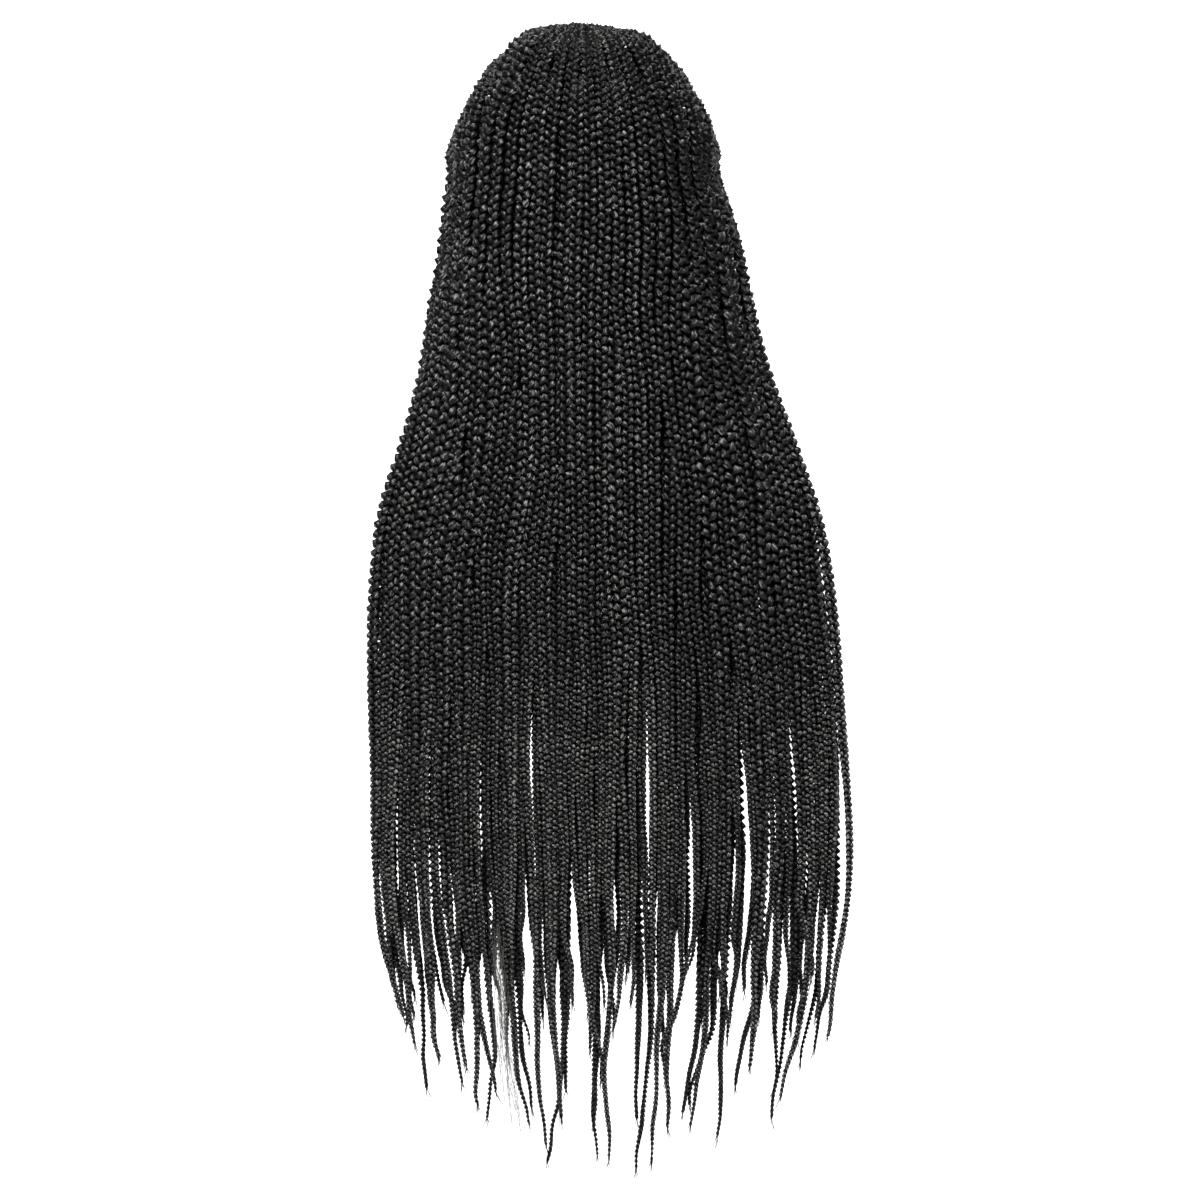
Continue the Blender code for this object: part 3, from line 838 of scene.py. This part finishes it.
def fibre_group():
    """Fine fibre streaks along a strand: a mask for the fibres' tone and their painted glints, one for
    shine, and a normal.
    """
    group, start, end = shader_group(
        "hair_fibre",
        (("Coordinates", "NodeSocketVector", None), ("Fibres", "NodeSocketFloat", 2.5),
         ("Streak length", "NodeSocketFloat", 260.0), ("Relief", "NodeSocketFloat", 0.6)),
        (("Streaks", "NodeSocketFloat"), ("Flecks", "NodeSocketFloat"), ("Normal", "NodeSocketVector")))
    links = group.links
    split = group.nodes.new("ShaderNodeSeparateXYZ")
    links.new(start.outputs["Coordinates"], split.inputs[0])
    along = math_node(group, "MULTIPLY", split.outputs[0], start.outputs["Streak length"])
    turn = math_node(group, "MULTIPLY", split.outputs[1], 2.0 * math.pi)
    ring_x = math_node(group, "MULTIPLY", math_node(group, "COSINE", turn, 0.0), start.outputs["Fibres"])
    ring_y = math_node(group, "MULTIPLY", math_node(group, "SINE", turn, 0.0), start.outputs["Fibres"])
    place = group.nodes.new("ShaderNodeCombineXYZ")
    for socket, value in zip(place.inputs, (ring_x, ring_y, along)):
        links.new(value, socket)
    fine = group.nodes.new("ShaderNodeTexNoise")
    fine.inputs["Scale"].default_value = 1.0
    fine.inputs["Detail"].default_value = 3.0
    fine.inputs["Roughness"].default_value = 0.62
    links.new(place.outputs[0], fine.inputs["Vector"])
    broad = group.nodes.new("ShaderNodeTexNoise")
    broad.inputs["Scale"].default_value = 0.42
    broad.inputs["Detail"].default_value = 2.0
    links.new(place.outputs[0], broad.inputs["Vector"])
    relief = group.nodes.new("ShaderNodeBump")
    relief.inputs["Distance"].default_value = 0.0006
    links.new(start.outputs["Relief"], relief.inputs["Strength"])
    links.new(fine.outputs[0], relief.inputs["Height"])
    links.new(fine.outputs[0], end.inputs["Streaks"])
    links.new(broad.outputs[0], end.inputs["Flecks"])
    links.new(relief.outputs[0], end.inputs["Normal"])
    return group


def ramp(tree, value, stops):
    """A colour by a value, from stops of place and colour."""
    node = tree.nodes.new("ShaderNodeValToRGB")
    elements = node.color_ramp.elements
    while len(elements) < len(stops):
        elements.new(0.5)
    for element, (place, shade) in zip(elements, stops):
        element.position = place
        element.color = (*shade, 1.0)
    tree.links.new(value, node.inputs[0])
    return node.outputs[0]


def map_range(tree, value, source, target, clamp=True):
    """A value moved from one range to another."""
    node = tree.nodes.new("ShaderNodeMapRange")
    node.clamp = clamp
    for label, number in zip(("From Min", "From Max", "To Min", "To Max"), (*source, *target)):
        node.inputs[label].default_value = number
    tree.links.new(value, node.inputs["Value"])
    return node.outputs[0]


def hair_material(fibres):
    """Black hair, with a painted highlight where a strand lies on top and faces up, painted shade near
    black in the grooves, and glossier on top.
    """
    material = bpy.data.materials.new("braided_hair")
    material.use_nodes = True
    tree = material.node_tree
    links = tree.links
    shader = tree.nodes["Principled BSDF"]
    uv = tree.nodes.new("ShaderNodeUVMap")
    uv.uv_map = "along_strand"
    streaks = tree.nodes.new("ShaderNodeGroup")
    streaks.node_tree = fibres
    links.new(uv.outputs[0], streaks.inputs["Coordinates"])
    tone = tree.nodes.new("ShaderNodeAttribute")
    tone.attribute_name = "tone"
    mixed = math_node(tree, "ADD", streaks.outputs["Streaks"],
                      math_node(tree, "MULTIPLY", tone.outputs["Fac"], TONE_WEIGHT))
    crest_light = tree.nodes.new("ShaderNodeAttribute")
    crest_light.attribute_name = "crest_light"
    height = crest_light.outputs["Fac"]
    # The crest moves the colour lighter on top of each strand and darker in the grooves: painted highlight
    # and painted shade
    mixed = math_node(tree, "ADD", mixed, map_range(tree, height, *CREST_PAINTED_LIGHT, clamp=False))
    links.new(ramp(tree, mixed, HAIR_COLOURS), shader.inputs["Base Color"])
    rough = map_range(tree, streaks.outputs["Flecks"], *FLECK_ROUGHNESS)
    links.new(rough, shader.inputs["Roughness"])
    links.new(streaks.outputs["Normal"], shader.inputs["Normal"])
    links.new(map_range(tree, height, *CREST_GLOSS), shader.inputs["Specular IOR Level"])
    return material


def cap_material():
    """Fine stretch net: crossed threads in relief, darker between them."""
    material = bpy.data.materials.new("cap_net")
    material.use_nodes = True
    tree = material.node_tree
    links = tree.links
    shader = tree.nodes["Principled BSDF"]
    place = tree.nodes.new("ShaderNodeTexCoord")
    threads = []
    for turn in (0.6, -0.6):
        mapping = tree.nodes.new("ShaderNodeMapping")
        mapping.inputs["Rotation"].default_value = (0.3, turn, 0.0)
        links.new(place.outputs["Object"], mapping.inputs["Vector"])
        wave = tree.nodes.new("ShaderNodeTexWave")
        wave.inputs["Scale"].default_value = NET_SCALE
        wave.inputs["Distortion"].default_value = 0.6
        links.new(mapping.outputs[0], wave.inputs["Vector"])
        threads.append(wave.outputs["Fac"])
    net = math_node(tree, "MAXIMUM", threads[0], threads[1])
    links.new(ramp(tree, net, NET_COLOURS), shader.inputs["Base Color"])
    relief = tree.nodes.new("ShaderNodeBump")
    relief.inputs["Strength"].default_value = 0.5
    relief.inputs["Distance"].default_value = 0.0004
    links.new(net, relief.inputs["Height"])
    links.new(relief.outputs[0], shader.inputs["Normal"])
    shader.inputs["Roughness"].default_value = 0.8
    return material


def paper_material():
    """Pale paper, which glows where it bends up into the wall."""
    paper = bpy.data.materials.new("pale_paper")
    paper.use_nodes = True
    tree = paper.node_tree
    shader = tree.nodes["Principled BSDF"]
    shader.inputs["Base Color"].default_value = (0.92, 0.92, 0.92, 1.0)
    shader.inputs["Roughness"].default_value = 0.9
    place = tree.nodes.new("ShaderNodeTexCoord")
    split = tree.nodes.new("ShaderNodeSeparateXYZ")
    tree.links.new(place.outputs["Object"], split.inputs[0])
    glow = map_range(tree, split.outputs[1], (BEND_START, BEND_START - BEND), (0.0, 1.0))
    glow = ramp(tree, glow, ((0.0, (0.0, 0.0, 0.0)), (1.0, (1.0, 1.0, 1.0))))
    tree.links.new(glow, shader.inputs["Emission Color"])
    shader.inputs["Emission Strength"].default_value = WALL_GLOW
    return paper


def sweep_and_lights():
    """A pale sweep below and behind the part, and soft light."""
    mesh = bpy.data.meshes.new("studio_sweep")
    bm = bmesh.new()
    profile = [(SWEEP_FRONT, FLOOR), (BEND_START, FLOOR)]
    for i in range(1, BEND_STEPS + 1):
        turn = 0.5 * math.pi * i / BEND_STEPS
        profile.append((BEND_START - BEND * math.sin(turn), FLOOR + BEND - BEND * math.cos(turn)))
    profile.append((BEND_START - BEND, WALL_TOP))
    rows = [[bm.verts.new((x, y, z)) for x in (-SWEEP_HALF_WIDTH, SWEEP_HALF_WIDTH)] for y, z in profile]
    for lower, upper in zip(rows, rows[1:]):
        face = bm.faces.new((lower[0], upper[0], upper[1], lower[1]))
        face.smooth = True
    bmesh.ops.recalc_face_normals(bm, faces=bm.faces[:])
    bm.to_mesh(mesh)
    bm.free()
    sweep = bpy.data.objects.new("studio_sweep", mesh)
    bpy.context.scene.collection.objects.link(sweep)
    mesh.materials.append(paper_material())

    world = bpy.data.worlds.new("studio_world")
    world.use_nodes = True
    world.node_tree.nodes["Background"].inputs[0].default_value = (1.0, 1.0, 1.0, 1.0)
    world.node_tree.nodes["Background"].inputs[1].default_value = WORLD_STRENGTH
    bpy.context.scene.world = world
    for name, place, aim, size, power in LIGHTS:
        data = bpy.data.lights.new(name, "AREA")
        data.shape = "SQUARE"
        data.size = size
        data.energy = power
        lamp = bpy.data.objects.new(name, data)
        bpy.context.scene.collection.objects.link(lamp)
        lamp.location = place
        lamp.rotation_euler = (Vector(place) - Vector(aim)).to_track_quat("Z", "Y").to_euler()


def add_camera():
    data = bpy.data.cameras.new("camera")
    data.sensor_width = SENSOR
    data.lens = SENSOR * CAMERA_DISTANCE / VIEW_WIDTH
    camera = bpy.data.objects.new("camera", data)
    camera.location = (VIEW_MIDDLE[0], VIEW_MIDDLE[1] + CAMERA_DISTANCE, VIEW_MIDDLE[2])
    camera.rotation_euler = (math.radians(90.0), 0.0, math.radians(180.0))
    bpy.context.scene.collection.objects.link(camera)
    bpy.context.scene.camera = camera
    bpy.context.scene.view_settings.view_transform = "Standard"


def main():
    rng = np.random.default_rng(SEED)
    plan = plan_braids(rng)
    clusters(rng, plan)
    for braid in plan:
        # Random tone, less the painted shade of the inner rows, which lie under the outer ones
        braid["tone"] = rng.normal(0.0, BRAID_TONES) - INNER_SHADES[braid["layer"]]
        if braid["column"] in PARTED:
            braid["aside"] = PARTED[braid["column"]]
        if braid["layer"] == FRONT and braid["column"] is None:
            over_ear = PARTING[0, 0] < abs(braid["across"]) < OVER_EAR
            braid["size"] = OVER_EAR_SIZE if over_ear else BETWEEN_SIZE
        if braid["layer"] in (FRONT, CROWN) and braid["share"][-1] < APART_SHARE:
            braid["apart"] = APART
    hair = hair_material(fibre_group())
    for name in sorted({b["name"] for b in plan}):
        strands = Strands()
        for braid in (b for b in plan if b["name"] == name):
            plait(rng, strands, braid, *centre_line(rng, braid))
        if name == LOOSE_LOCK:
            loose_hairs(rng, strands)
        piece = strands.make(f"{name}_plaits")
        piece.data.materials.append(hair)
        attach(piece, "root")
        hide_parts(name)
    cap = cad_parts["cap"]
    cap.data.materials.clear()
    cap.data.materials.append(cap_material())
    sweep_and_lights()
    add_camera()


main()
